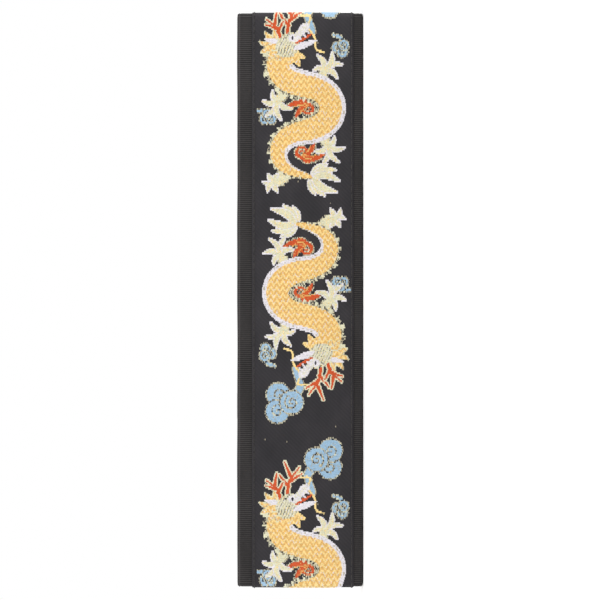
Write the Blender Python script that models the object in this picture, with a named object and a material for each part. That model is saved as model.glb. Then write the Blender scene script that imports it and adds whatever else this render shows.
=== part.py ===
"""Guitar strap: 50 mm webbing with a jacquard ribbon, leather button tabs, loop and tri-glide slider.

The strap stands on its long edge in folds.  Plan view is the XY plane and the strap's width runs up Z.
Driving dimensions are in millimetres; meshes are written in metres.
"""
import math

import bmesh
import bpy
from mathutils import Vector
from mathutils.geometry import tessellate_polygon

MM = 0.001

# webbing and ribbon
WIDTH = 50.0            # webbing width
WEB = 1.5               # webbing thickness
RIBBON = 0.5            # ribbon thickness
GAP = 0.3               # clearance between layers
RIBBON_LOW, RIBBON_HIGH = -21.2, 19.0   # ribbon edges, measured from the webbing's middle
THREAD_INSET = 0.9      # edge thread, measured in from the ribbon's edge
THREAD_W, THREAD_T = 0.7, 0.35
LIFT = 4.0              # how far the wider hardware holds the adjuster run off the floor

# folded arrangement
FRONT_HALF = 114.5      # half length of the front run, over its outer faces
CREASE = 1.5            # centreline radius of the two front creases
BACK_Y = 66.0           # centreline of the adjuster run
RUN_END = 100.0         # where the fixed webbing hands over to the adjuster run

# slider and loop
SLIDER_X = 20.0         # slider centre
SLIDER_LEN, SLIDER_T, BAR = 30.0, 2.4, 3.5
HARDWARE_W = 58.0       # width over the rails of slider and loop
WIRE = 3.6              # loop wire diameter
LOOP_X = -44.0          # the bar that carries the webbing
LOOP_PITCH = 16.0       # between the loop's two bars
LOOP_Y = BACK_Y - (WIRE / 2 + GAP + WEB / 2)

# leather tabs
LEATHER = 2.4
SKIVE = 0.2             # how much thinner the leather is where it is sewn or folded
TAB_TIP = 17.0          # half width at the tip
HOLE_R, SLIT_W, SLIT_L = 4.5, 2.4, 12.0
REAR_TIP = -138.0
FRONT_TAB = (-26.0, -128.0)
WEB_START = -60.0       # webbing end under the front tab
FRONT_TAB_Y = 42.0


# ---------------------------------------------------------------- plan-view paths

class Path:
    """Straight runs joined by arcs; gives position, heading and right-hand normal by length."""

    def __init__(self, corners):
        pts = [Vector(c[:2]) for c in corners]
        self.parts = []
        here = pts[0]
        for i in range(1, len(pts)):
            last = i == len(pts) - 1
            ahead = (pts[i] - pts[i - 1]).normalized()
            if last:
                self._line(here, pts[i])
                break
            after = (pts[i + 1] - pts[i]).normalized()
            turn = math.atan2(ahead.x * after.y - ahead.y * after.x, ahead.dot(after))
            radius = corners[i][2]
            cut = radius * math.tan(abs(turn) / 2)
            start = pts[i] - ahead * cut
            self._line(here, start)
            side = Vector((-ahead.y, ahead.x)) * math.copysign(1, turn)
            self.parts.append(("arc", abs(turn) * radius, start + side * radius, radius,
                               math.atan2(-side.y, -side.x), turn))
            here = pts[i] + after * cut
        self.length = sum(p[1] for p in self.parts)

    def _line(self, a, b):
        if (b - a).length > 1e-6:
            self.parts.append(("line", (b - a).length, a, (b - a).normalized()))

    def at(self, s):
        for n, p in enumerate(self.parts):
            if s <= p[1] + 1e-9 or n == len(self.parts) - 1:
                break
            s -= p[1]
        if p[0] == "line":
            pos, head = p[2] + p[3] * s, p[3]
        else:
            angle = p[4] + p[5] * s / p[1]
            out = Vector((math.cos(angle), math.sin(angle)))
            pos = p[2] + out * p[3]
            head = Vector((-out.y, out.x)) * math.copysign(1, p[5])
        return pos, Vector((head.y, -head.x))

    def stations(self, start, end, arc_step=15.0, breaks=()):
        """Lengths at which a sweep needs a section: ends of runs, and steps around each arc."""
        found, s = [start, end, *breaks], 0.0
        for p in self.parts:
            steps = 1 if p[0] == "line" else max(1, round(abs(math.degrees(p[5])) / arc_step))
            found += [s + p[1] * k / steps for k in range(steps + 1)]
            s += p[1]
        found = sorted(f for f in found if start - 1e-6 <= f <= end + 1e-6)
        return [f for n, f in enumerate(found) if n == 0 or f - found[n - 1] > 1e-4]

    def length_where(self, x, y, tol=0.05):
        """Length at which the path passes the point (x, y)."""
        best = min(range(int(self.length * 20) + 1),
                   key=lambda k: (self.at(k / 20)[0] - Vector((x, y))).length)
        return best / 20


TURN_X = FRONT_HALF - (CREASE + WEB / 2 + GAP + RIBBON) + CREASE
FRONT_Y = 1.5
HUMP = 7.7              # how far the webbing rises over the slider's centre bar
WRAP = WIRE / 2 + GAP + WEB / 2

STRAP_CORNERS = [
    (WEB_START, FRONT_TAB_Y), (97, FRONT_TAB_Y, 6.0), (97, 29.8, 6.0),
    (0, 27.2, 900.0), (-100, 27.0, 4.5), (-100, 17.4, 4.5),
    (0, 19.4, 900.0), (100, 18.6, 5.6), (100, 7.2, 5.6),
    (-TURN_X, FRONT_Y + 2 * CREASE, CREASE), (-TURN_X, FRONT_Y, CREASE),
    (TURN_X, FRONT_Y, CREASE), (TURN_X, BACK_Y, 9.0),
    (SLIDER_X + 10.0, BACK_Y, 3.2), (SLIDER_X + 3.6, BACK_Y + HUMP, 3.2),
    (SLIDER_X - 3.6, BACK_Y + HUMP, 3.2), (SLIDER_X - 10.0, BACK_Y, 3.2),
    (LOOP_X - WRAP, BACK_Y, WRAP), (LOOP_X - WRAP, BACK_Y - 2 * WRAP, WRAP),
    (LOOP_X + 6, BACK_Y - 2 * WRAP, 10.0), (SLIDER_X - 24, BACK_Y - 1.8, 10.0),
    (SLIDER_X - 2.8, BACK_Y - 1.8, 1.3), (SLIDER_X - 2.8, BACK_Y + 5.75 + 0.15, 1.3),
    (SLIDER_X + 2.8, BACK_Y + 5.75 + 0.15, 1.3), (SLIDER_X + 2.8, BACK_Y - 3.6, 1.3),
    (SLIDER_X - 22, BACK_Y - 3.6),
]
STRAP = Path(STRAP_CORNERS)
CORNER_LOW = STRAP.length_where(TURN_X, 8.0)
CORNER_HIGH = STRAP.length_where(TURN_X, BACK_Y - 8.0)

LEATHER_R = WIRE / 2 + GAP + LEATHER / 2
BAR_X = LOOP_X - LOOP_PITCH
OUTER_Y = LOOP_Y + LEATHER_R
REAR = Path([
    (BAR_X - 36, OUTER_Y - LEATHER - GAP), (BAR_X - 11, OUTER_Y - LEATHER - GAP, 8.0),
    (BAR_X - 2, LOOP_Y - LEATHER_R, 8.0), (BAR_X + LEATHER_R, LOOP_Y - LEATHER_R, LEATHER_R),
    (BAR_X + LEATHER_R, OUTER_Y, LEATHER_R), (REAR_TIP, OUTER_Y),
])


def lift(s):
    """The adjuster end of the strap is carried up to the hardware's middle."""
    k = min(1.0, max(0.0, (s - CORNER_LOW) / (CORNER_HIGH - CORNER_LOW)))
    return LIFT * k * k * (3 - 2 * k)


def on_strap(s, w, t):
    pos, right = STRAP.at(s)
    return Vector((pos.x + right.x * t, pos.y + right.y * t, WIDTH / 2 + w + lift(s)))


def on_rear(s, w, t):
    pos, right = REAR.at(s)
    return Vector((pos.x + right.x * t, pos.y + right.y * t, WIDTH / 2 + w + LIFT))


# ---------------------------------------------------------------- solids

PARTS = []


def add(name, verts, faces, colour, roughness, metallic=0.0):
    """One closed, outward-facing body as a named object with its own material."""
    mesh = bpy.data.meshes.new(name)
    mesh.from_pydata([v * MM for v in verts], [], faces)
    work = bmesh.new()
    work.from_mesh(mesh)
    bmesh.ops.remove_doubles(work, verts=work.verts, dist=1e-7)
    bmesh.ops.recalc_face_normals(work, faces=work.faces)
    if work.calc_volume(signed=True) < 0:
        bmesh.ops.reverse_faces(work, faces=work.faces)
    work.to_mesh(mesh)
    work.free()
    obj = bpy.data.objects.new(name, mesh)
    bpy.context.scene.collection.objects.link(obj)
    material = bpy.data.materials.new(name + "_finish")
    material.use_nodes = True
    shader = material.node_tree.nodes["Principled BSDF"]
    shader.inputs["Base Color"].default_value = (*colour, 1.0)
    shader.inputs["Roughness"].default_value = roughness
    shader.inputs["Metallic"].default_value = metallic
    mesh.materials.append(material)
    PARTS.append(obj)
    return obj


def sweep(place, stations, section):
    """A closed section of (w, t) points carried along the stations, with end caps."""
    verts = [place(s, w, t) for s in stations for w, t in section]
    n = len(section)
    faces = [tuple(range(n)), tuple(range(len(verts) - n, len(verts)))[::-1]]
    for k in range(len(stations) - 1):
        a, b = k * n, (k + 1) * n
        faces += [(a + i, b + i, b + (i + 1) % n, a + (i + 1) % n) for i in range(n)]
    return verts, faces


def slab(place, outline, holes, low, high, strip=(), skive=0.0):
    """A flat outline with holes, thickened from low to high.

    strip lists further stations, each with its half width, that continue the outline's first edge.
    The strip is thinner than the outline by skive, on its lower side.
    """
    loops = [[Vector((s, w, 0)) for s, w in ring] for ring in [outline, *holes]]
    flat = [p for ring in loops for p in ring]
    tris = [tuple(t) for t in tessellate_polygon(loops)]
    rows, under = [], [low] * len(flat)
    for s, half in strip:
        rows.append((len(flat), len(flat) + 1))
        flat += [Vector((s, -half, 0)), Vector((s, half, 0))]
        under += [low + skive] * 2
    ends = [(0, len(outline) - 1), *rows]
    for (a, b), (c, d) in zip(ends, ends[1:]):
        tris += [(a, b, d), (a, d, c)]
    edges = {}
    oriented = []
    for t in tris:
        a, b, c = (flat[i] for i in t)
        if (b - a).cross(c - a).z < 0:
            t = (t[0], t[2], t[1])
        oriented.append(t)
        for i in range(3):
            edges[(t[i], t[(i + 1) % 3])] = True
    n = len(flat)
    verts = [place(p.x, p.y, high) for p in flat] + [place(p.x, p.y, t) for p, t in zip(flat, under)]
    faces = oriented + [(c + n, b + n, a + n) for a, b, c in oriented]
    faces += [(b, a, a + n, b + n) for a, b in edges if (b, a) not in edges]
    return verts, faces


def rounded(half_w, half_t, cut):
    return [(-half_w + cut, -half_t), (half_w - cut, -half_t), (half_w, -half_t + cut),
            (half_w, half_t - cut), (half_w - cut, half_t), (-half_w + cut, half_t),
            (-half_w, half_t - cut), (-half_w, -half_t + cut)]


def box_section(low, high, t0, t1):
    return [(low, t0), (high, t0), (high, t1), (low, t1)]


FACE = WEB / 2 + GAP + RIBBON        # outer face of the ribbon
BLACK_WEB = (0.045, 0.042, 0.040)
RIBBON_TONE = (0.42, 0.33, 0.17)
THREAD_TONE = (0.03, 0.03, 0.03)
LEATHER_TONE = (0.022, 0.018, 0.016)
STEEL = (0.55, 0.55, 0.56)


def webbing(name, start, end):
    marks = [CORNER_LOW + (CORNER_HIGH - CORNER_LOW) * k / 8 for k in range(9)]
    stations = STRAP.stations(start, end, breaks=marks)
    add(name, *sweep(on_strap, stations, rounded(WIDTH / 2, WEB / 2, 0.35)), BLACK_WEB, 0.85)


def ribbon(name, start, end):
    marks = [CORNER_LOW + (CORNER_HIGH - CORNER_LOW) * k / 8 for k in range(9)]
    stations = STRAP.stations(start, end, breaks=marks)
    section = box_section(RIBBON_LOW, RIBBON_HIGH, WEB / 2 + GAP, FACE)
    add(name, *sweep(on_strap, stations, section), RIBBON_TONE, 0.7)


def edge_threads(name, start, end):
    marks = [CORNER_LOW + (CORNER_HIGH - CORNER_LOW) * k / 8 for k in range(9)]
    stations = STRAP.stations(start, end, breaks=marks)
    for side, w in (("upper", RIBBON_HIGH - THREAD_INSET), ("lower", RIBBON_LOW + THREAD_INSET)):
        section = box_section(w - THREAD_W / 2, w + THREAD_W / 2, FACE + 0.12, FACE + 0.12 + THREAD_T)
        add(f"{name}_{side}", *sweep(on_strap, stations, section), THREAD_TONE, 0.6)


def strap_sections():
    """The strap proper, then the lengths that shift as the slider is moved."""
    at = STRAP.length_where
    run = at(RUN_END, BACK_Y)
    weave_in, weave_out = at(SLIDER_X + 17, BACK_Y), at(SLIDER_X - 17, BACK_Y)
    bend_in = at(LOOP_X + 4, BACK_Y)
    bend_out = at(LOOP_X + 4, BACK_Y - 2 * WRAP)
    sewn = at(SLIDER_X - 24, BACK_Y - 1.8) + 1.5
    half_cut = 0.06
    lengths = [("main", 0.0, run), ("adjuster_run", run, weave_in), ("slider_weave", weave_in, weave_out),
               ("loop_span", weave_out, bend_in), ("loop_bend", bend_in, bend_out),
               ("return_layer", bend_out, sewn)]
    for name, start, end in lengths:
        start, end = start + half_cut * (start > 0), end - half_cut
        webbing(f"{name}_webbing", start, end)
        ribbon(f"{name}_ribbon", start, end)
        thread_start = start if start > 0 else FRONT_TAB[0] - WEB_START + 1.0
        edge_threads(f"{name}_edge_thread", thread_start, end)
    webbing("sewn_end_webbing", sewn + half_cut, STRAP.length)


def tab_outline(body, tip, inset=0.0, base=0.0):
    """Half widths and lengths of a tab from its straight part round to the tip and back."""
    half = WIDTH / 2 - inset
    nose = TAB_TIP - inset * 0.6
    shoulder = body + 14.0
    end = tip - inset
    pts = [(base, -half), (shoulder, -half)]
    for k in range(1, 12):
        u = k / 12
        pts.append((shoulder + 16 * u, -half + (half - nose) * u * u * (3 - 2 * u)))
    flat = shoulder + 16
    for k in range(0, 33):
        a = math.pi * k / 32
        pts.append((flat + (end - flat) * math.sin(a) ** 0.75, -nose * math.cos(a)))
    for k in range(11, 0, -1):
        u = k / 12
        pts.append((shoulder + 16 * u, half - (half - nose) * u * u * (3 - 2 * u)))
    return pts + [(shoulder, half), (base, half)]


def keyhole(centre):
    """Round button hole with a slit towards the strap."""
    open_angle = math.asin(SLIT_W / 2 / HOLE_R)
    pts = []
    for k in range(21):
        a = math.pi - open_angle - (2 * math.pi - 2 * open_angle) * k / 20
        pts.append((centre + HOLE_R * math.cos(a), HOLE_R * math.sin(a)))
    end = centre - SLIT_L
    for k in range(5):
        a = -math.pi / 2 - math.pi * k / 4
        pts.append((end + SLIT_W / 2 * math.cos(a), SLIT_W / 2 * math.sin(a)))
    return pts


def cross_box(start, end, half, line=0.9):
    """Outline and four triangular holes of a sewn box with a cross in it."""
    outline = [(start, -half), (end, -half), (end, half), (start, half)]
    a, b, h = start + line, end - line, half - line
    mid, slope = (start + end) / 2, math.atan2(2 * h, b - a)
    dx, dy = line / 2 / math.sin(slope), line / 2 / math.cos(slope)
    holes = [[(a + dx, -h), (b - dx, -h), (mid, -dy)], [(b, -h + dy), (b, h - dy), (mid + dx, 0)],
             [(b - dx, h), (a + dx, h), (mid, dy)], [(a, h - dy), (a, -h + dy), (mid - dx, 0)]]
    return outline, holes


def seam(body, tip, inset, width=0.8, base=0.0):
    """A line of stitching that follows the tab's edge."""
    outer = tab_outline(body, tip, inset, base)
    inner = tab_outline(body, tip, inset + width, base)
    return outer + inner[::-1]


def front_tab():
    start, tip = FRONT_TAB
    length = start - tip

    def place(s, w, t):
        return Vector((start - s, FRONT_TAB_Y - t, WIDTH / 2 + w))

    low = FACE + 0.25
    high = low + LEATHER
    overlap = start - WEB_START
    thick = overlap + 2
    outline = tab_outline(overlap, length, base=thick)
    strip = [(thick - 0.3, WIDTH / 2), (0.0, WIDTH / 2)]
    add("front_tab_leather",
        *slab(place, outline, [keyhole(length - 14)], low, high, strip, SKIVE), LEATHER_TONE, 0.55)
    outline, holes = cross_box(5, overlap - 3, 21)
    add("front_tab_box_stitch", *slab(place, outline, holes, high + 0.12, high + 0.5), THREAD_TONE, 0.6)
    add("front_tab_box_stitch_back",
        *slab(place, outline, holes, -WEB / 2 - 0.5, -WEB / 2 - 0.12), THREAD_TONE, 0.6)
    edge = seam(overlap, length, 2.5, base=thick)
    add("front_tab_edge_stitch", *slab(place, edge, [], high + 0.12, high + 0.47), THREAD_TONE, 0.6)


def rear_tab():
    """One leather strip folded round the loop's outer bar and sewn to itself."""
    flat = REAR.length_where(BAR_X - 1.0, OUTER_Y)
    length = REAR.length
    low, high = -LEATHER / 2, LEATHER / 2
    body = flat + 36.0
    outline = tab_outline(body, length, base=body)
    strip = [(s, WIDTH / 2) for s in REAR.stations(0.0, body - 0.3)][::-1]
    add("rear_tab_leather",
        *slab(on_rear, outline, [keyhole(length - 14)], low, high, strip, SKIVE), LEATHER_TONE, 0.55)
    box_outline, holes = cross_box(flat + 15, flat + 33, 21)
    add("rear_tab_box_stitch", *slab(on_rear, box_outline, holes, high + 0.12, high + 0.5), THREAD_TONE, 0.6)
    back = -(LEATHER + GAP) - LEATHER / 2
    add("rear_tab_box_stitch_back",
        *slab(on_rear, box_outline, holes, back - 0.5, back - 0.12), THREAD_TONE, 0.6)
    edge = seam(body, length, 2.5, base=body + 1)
    add("rear_tab_edge_stitch", *slab(on_rear, edge, [], high + 0.12, high + 0.47), THREAD_TONE, 0.6)


def rounded_rectangle(half_x, half_z, radius, steps=5):
    pts = []
    for quarter, (sx, sz) in enumerate(((1, 1), (-1, 1), (-1, -1), (1, -1))):
        for k in range(steps + 1):
            a = math.pi / 2 * (quarter + k / steps)
            pts.append((sx * (half_x - radius) + radius * math.cos(a),
                        sz * (half_z - radius) + radius * math.sin(a)))
    return pts


def wire_loop():
    """Rectangular loop bent from round wire."""
    cx, cz = LOOP_X - LOOP_PITCH / 2, WIDTH / 2 + LIFT
    middle = rounded_rectangle(LOOP_PITCH / 2, (HARDWARE_W - WIRE) / 2, 2.5)
    verts, sides, n = [], 14, len(middle)
    for i, (x, z) in enumerate(middle):
        before, after = Vector(middle[i - 1]), Vector(middle[(i + 1) % n])
        here = Vector((x, z))
        head = ((here - before).normalized() + (after - here).normalized()).normalized()
        out = Vector((head.y, -head.x))
        stretch = 1 / max(0.5, head.dot((after - here).normalized()))
        for k in range(sides):
            a = 2 * math.pi * k / sides
            p = here + out * (WIRE / 2 * math.cos(a) * stretch)
            verts.append(Vector((cx + p.x, LOOP_Y + WIRE / 2 * math.sin(a), cz + p.y)))
    faces = []
    for i in range(n):
        a, b = i * sides, ((i + 1) % n) * sides
        faces += [(a + k, b + k, b + (k + 1) % sides, a + (k + 1) % sides) for k in range(sides)]
    add("rear_loop_wire", verts, faces, STEEL, 0.3, 1.0)


def slider():
    """Tri-glide plate: two slots with a centre bar between them."""
    plane = BACK_Y + 3.5
    cz = WIDTH / 2 + LIFT

    def place(s, w, t):
        return Vector((SLIDER_X + s, plane - t, cz + w))

    outline = rounded_rectangle(SLIDER_LEN / 2, HARDWARE_W / 2, 3.5)
    rail = (HARDWARE_W - 50.8) / 2
    slot_half = (SLIDER_LEN / 2 - BAR - BAR / 2) / 2
    slot = rounded_rectangle(slot_half, HARDWARE_W / 2 - rail, 1.2, steps=3)
    offset = BAR / 2 + slot_half
    holes = [[(x + side * offset, z) for x, z in slot] for side in (-1, 1)]
    obj = add("tri_glide_slider", *slab(place, outline, holes, -SLIDER_T / 2, SLIDER_T / 2), STEEL, 0.3, 1.0)
    soften(obj, 0.35)
    stitch_plane = BACK_Y - 3.6 - WEB / 2

    def behind(s, w, t):
        return Vector((SLIDER_X + s, stitch_plane - t, cz + w))

    box_outline, box_holes = cross_box(-20, -7, 22)
    add("slider_box_stitch", *slab(behind, box_outline, box_holes, 0.12, 0.5), THREAD_TONE, 0.6)


def soften(obj, size):
    """Chamfer the sharp edges of a flat plate."""
    work = bmesh.new()
    work.from_mesh(obj.data)
    bmesh.ops.dissolve_limit(work, angle_limit=0.02, verts=work.verts, edges=work.edges)
    sharp = [e for e in work.edges if e.calc_face_angle(0) > math.radians(60)]
    bmesh.ops.bevel(work, geom=sharp, offset=size * MM, segments=1, affect="EDGES", clamp_overlap=True)
    bmesh.ops.recalc_face_normals(work, faces=work.faces)
    work.to_mesh(obj.data)
    work.free()


def centre_on_floor():
    """Origin at the middle of the footprint, on the floor."""
    corners = [v.co for o in PARTS for v in o.data.vertices]
    shift = Vector((-(min(c.x for c in corners) + max(c.x for c in corners)) / 2,
                    -(min(c.y for c in corners) + max(c.y for c in corners)) / 2,
                    -min(c.z for c in corners)))
    for obj in PARTS:
        for v in obj.data.vertices:
            v.co += shift
    return shift


def pivot(obj, x, y, z, shift):
    """Put an object's origin on its joint axis."""
    point = Vector((x, y, z)) * MM + shift
    for v in obj.data.vertices:
        v.co -= point
    obj.location = point


def main():
    for obj in list(bpy.data.objects):
        bpy.data.objects.remove(obj)
    strap_sections()
    front_tab()
    slider()
    wire_loop()
    rear_tab()
    shift = centre_on_floor()
    for obj in PARTS:
        if obj.name.startswith("rear_tab"):
            pivot(obj, BAR_X, LOOP_Y, WIDTH / 2 + LIFT, shift)


main()
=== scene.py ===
"""Looks of a folded guitar strap: ribbed webbing, a jacquard ribbon woven pick by pick, leather and steel.

Plan-view lengths are in millimetres and become metres in place().  The route is the CAD route.
The ribbon's figure is a weave draft worked out here by formula: `l` runs along the strap and `b`
across it.  Every run of one colour in a pick becomes one raised float of yarn.
"""
import math

import bpy
import numpy as np
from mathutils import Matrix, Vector


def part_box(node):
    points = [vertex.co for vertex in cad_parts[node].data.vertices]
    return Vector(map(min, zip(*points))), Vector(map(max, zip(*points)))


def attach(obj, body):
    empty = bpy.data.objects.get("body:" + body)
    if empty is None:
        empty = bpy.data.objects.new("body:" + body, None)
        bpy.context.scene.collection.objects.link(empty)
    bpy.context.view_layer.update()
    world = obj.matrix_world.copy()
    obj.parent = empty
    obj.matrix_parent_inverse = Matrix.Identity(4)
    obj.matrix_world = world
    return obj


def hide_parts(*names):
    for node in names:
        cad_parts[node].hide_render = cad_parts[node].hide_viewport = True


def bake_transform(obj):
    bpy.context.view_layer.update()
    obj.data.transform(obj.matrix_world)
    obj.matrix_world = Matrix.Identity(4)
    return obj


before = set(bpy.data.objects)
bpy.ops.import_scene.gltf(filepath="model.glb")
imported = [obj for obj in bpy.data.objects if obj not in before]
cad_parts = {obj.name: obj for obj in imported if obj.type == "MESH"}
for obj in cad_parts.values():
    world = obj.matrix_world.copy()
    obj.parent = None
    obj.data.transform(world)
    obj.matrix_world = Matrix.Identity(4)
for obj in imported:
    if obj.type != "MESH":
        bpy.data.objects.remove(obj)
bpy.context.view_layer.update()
MM = 0.001

# ---------------------------------------------------------------- the strap's route, as in CAD
WIDTH, WEB, RIBBON, GAP = 50.0, 1.5, 0.5, 0.3
LIFT = 4.0              # how much higher the back run is, to meet the middle of the slider
FACE = WEB / 2 + GAP + RIBBON
RIBBON_LOW, RIBBON_HIGH, THREAD_INSET = -21.2, 19.0, 0.9
FRONT_HALF, CREASE, FRONT_Y, BACK_Y = 114.5, 1.5, 1.5, 66.0
SLIDER_X, LOOP_X, WIRE = 20.0, -44.0, 3.6
HUMP, WRAP = 7.7, WIRE / 2 + GAP + WEB / 2
TURN_X = FRONT_HALF - FACE
FRONT_TAB_END, WEB_START = -26.0, -60.0     # the webbing starts inside the front tab
TAB_TIP = 17.0          # half the tab's width at its tip
TAB_STRAIGHT, TAB_SHOULDER = 14.0, 16.0     # its full-width length, and the length over which it narrows

CORNERS = [
    (WEB_START, 42.0), (97, 42.0, 6.0), (97, 29.8, 6.0),
    (0, 27.2, 900.0), (-100, 27.0, 4.5), (-100, 17.4, 4.5),
    (0, 19.4, 900.0), (100, 18.6, 5.6), (100, 7.2, 5.6),
    (-TURN_X, FRONT_Y + 2 * CREASE, CREASE), (-TURN_X, FRONT_Y, CREASE),
    (TURN_X, FRONT_Y, CREASE), (TURN_X, BACK_Y, 9.0),
    (SLIDER_X + 10.0, BACK_Y, 3.2), (SLIDER_X + 3.6, BACK_Y + HUMP, 3.2),
    (SLIDER_X - 3.6, BACK_Y + HUMP, 3.2), (SLIDER_X - 10.0, BACK_Y, 3.2),
    (LOOP_X - WRAP, BACK_Y, WRAP), (LOOP_X - WRAP, BACK_Y - 2 * WRAP, WRAP),
    (LOOP_X + 6, BACK_Y - 2 * WRAP, 10.0), (SLIDER_X - 24, BACK_Y - 1.8, 10.0),
    (SLIDER_X - 2.8, BACK_Y - 1.8, 1.3), (SLIDER_X - 2.8, BACK_Y + 5.9, 1.3),
    (SLIDER_X + 2.8, BACK_Y + 5.9, 1.3), (SLIDER_X + 2.8, BACK_Y - 3.6, 1.3),
    (SLIDER_X - 22, BACK_Y - 3.6),
]


def trace(corners, step=0.05):
    """Points and right-hand normals every step along straight runs joined by arcs."""
    pts = [np.array(c[:2], float) for c in corners]
    runs, here = [], pts[0]
    for i in range(1, len(pts)):
        ahead = (pts[i] - pts[i - 1]) / np.linalg.norm(pts[i] - pts[i - 1])
        if i == len(pts) - 1:
            runs.append((np.linalg.norm(pts[i] - here), here, ahead, 0.0))
            break
        after = (pts[i + 1] - pts[i]) / np.linalg.norm(pts[i + 1] - pts[i])
        bend = math.atan2(ahead[0] * after[1] - ahead[1] * after[0], float(ahead @ after))
        cut = corners[i][2] * math.tan(abs(bend) / 2)
        start = pts[i] - ahead * cut
        runs.append((np.linalg.norm(start - here), here, ahead, 0.0))
        runs.append((abs(bend) * corners[i][2], start, ahead, bend))
        here = pts[i] + after * cut
    total = sum(r[0] for r in runs)
    s = np.arange(0.0, total, step)
    pos, right = np.zeros((len(s), 2)), np.zeros((len(s), 2))
    base = 0.0
    for length, start, first, bend in runs:
        on = (s >= base - 1e-9) & (s <= base + length + step)
        along = np.clip(s[on] - base, 0, length)
        left = np.array([-first[1], first[0]])
        if bend == 0.0:
            pos[on] = start + along[:, None] * first
            ahead = np.tile(first, (on.sum(), 1))
        else:
            radius, side = length / abs(bend), math.copysign(1, bend)
            a = along / radius
            pos[on] = (start + radius * np.sin(a)[:, None] * first
                       + side * radius * (1 - np.cos(a))[:, None] * left)
            ahead = np.cos(a)[:, None] * first + side * np.sin(a)[:, None] * left
        right[on] = np.stack([ahead[:, 1], -ahead[:, 0]], 1)
        base += length
    return s, pos, right, total


S, POS, RIGHT, LENGTH = trace(CORNERS)
OFFSET = np.array([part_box("main_webbing")[1].x / MM - (TURN_X + WEB / 2),
                   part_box("main_ribbon")[0].y / MM - (FRONT_Y - FACE), 0.0])


def length_where(x, y):
    """Length at which the route passes (x, y)."""
    return float(S[np.argmin(np.hypot(POS[:, 0] - x, POS[:, 1] - y))])


CORNER_LOW, CORNER_HIGH = length_where(TURN_X, 8.0), length_where(TURN_X, BACK_Y - 8.0)
FRONT_START = length_where(-FRONT_HALF + 10, FRONT_Y) - 10      # where x would be the front's left end
RUN = length_where(100.0, BACK_Y)
WEAVE_IN, WEAVE_OUT = length_where(SLIDER_X + 17, BACK_Y), length_where(SLIDER_X - 17, BACK_Y)
BEND_IN, BEND_OUT = length_where(LOOP_X + 4, BACK_Y), length_where(LOOP_X + 4, BACK_Y - 2 * WRAP)
SEWN = length_where(SLIDER_X - 24, BACK_Y - 1.8) + 1.5
SECTIONS = [("main", 0.0, RUN, "strap"), ("adjuster_run", RUN, WEAVE_IN, ("strap", "slider")),
            ("slider_weave", WEAVE_IN, WEAVE_OUT, "slider"),
            ("loop_span", WEAVE_OUT, BEND_IN, ("slider", "loop")), ("loop_bend", BEND_IN, BEND_OUT, "loop"),
            ("return_layer", BEND_OUT, SEWN, ("loop", "slider"))]
SEAM_GAP = 0.004        # left at each end of a section, so that neighbours never overlap


def place(s, w, t):
    """Strap coordinates to the row frame, in metres; s, w and t are arrays of one shape."""
    k = np.clip((s - CORNER_LOW) / (CORNER_HIGH - CORNER_LOW), 0, 1)
    x = np.interp(s, S, POS[:, 0]) + np.interp(s, S, RIGHT[:, 0]) * t
    y = np.interp(s, S, POS[:, 1]) + np.interp(s, S, RIGHT[:, 1]) * t
    z = WIDTH / 2 + w + LIFT * k * k * (3 - 2 * k)
    return (np.stack([x, y, z], -1) + OFFSET) * MM


# ---------------------------------------------------------------- meshes
def outward(verts, faces):
    """The faces wound so that a closed mesh's normals point out of it."""
    points = verts - verts.mean(0)
    fans = [points[faces[:, [0, k, k + 1]]] for k in range(1, faces.shape[1] - 1)]
    volume = sum(np.einsum("ij,ij->", f[:, 0], np.cross(f[:, 1], f[:, 2])) for f in fans)
    return faces if volume > 0 else faces[:, ::-1]


def make(name, verts, faces, material, coords=None, smooth=True):
    """A closed mesh object from arrays; coords is kept on the points as 'lay' for the materials."""
    faces = outward(np.asarray(verts, float), faces)
    mesh = bpy.data.meshes.new(name)
    corner_count = faces.shape[1]
    mesh.vertices.add(len(verts))
    mesh.vertices.foreach_set("co", np.asarray(verts, np.float32).ravel())
    mesh.loops.add(faces.size)
    mesh.loops.foreach_set("vertex_index", faces.astype(np.int32).ravel())
    mesh.polygons.add(len(faces))
    mesh.polygons.foreach_set("loop_start", np.arange(0, faces.size, corner_count, dtype=np.int32))
    mesh.update(calc_edges=True)
    mesh.polygons.foreach_set("use_smooth", np.full(len(faces), smooth))
    if coords is not None:
        lay = mesh.attributes.new("lay", "FLOAT_VECTOR", "POINT")
        lay.data.foreach_set("vector", np.asarray(coords, np.float32).ravel())
    obj = bpy.data.objects.new(name, mesh)
    bpy.context.scene.collection.objects.link(obj)
    mesh.materials.append(material)
    return obj


def settle(obj, ride):
    """Make a piece ride on a body; a piece between two bodies only gets its transform baked into its mesh."""
    if isinstance(ride, str):
        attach(obj, ride)
        return
    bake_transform(obj)


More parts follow.
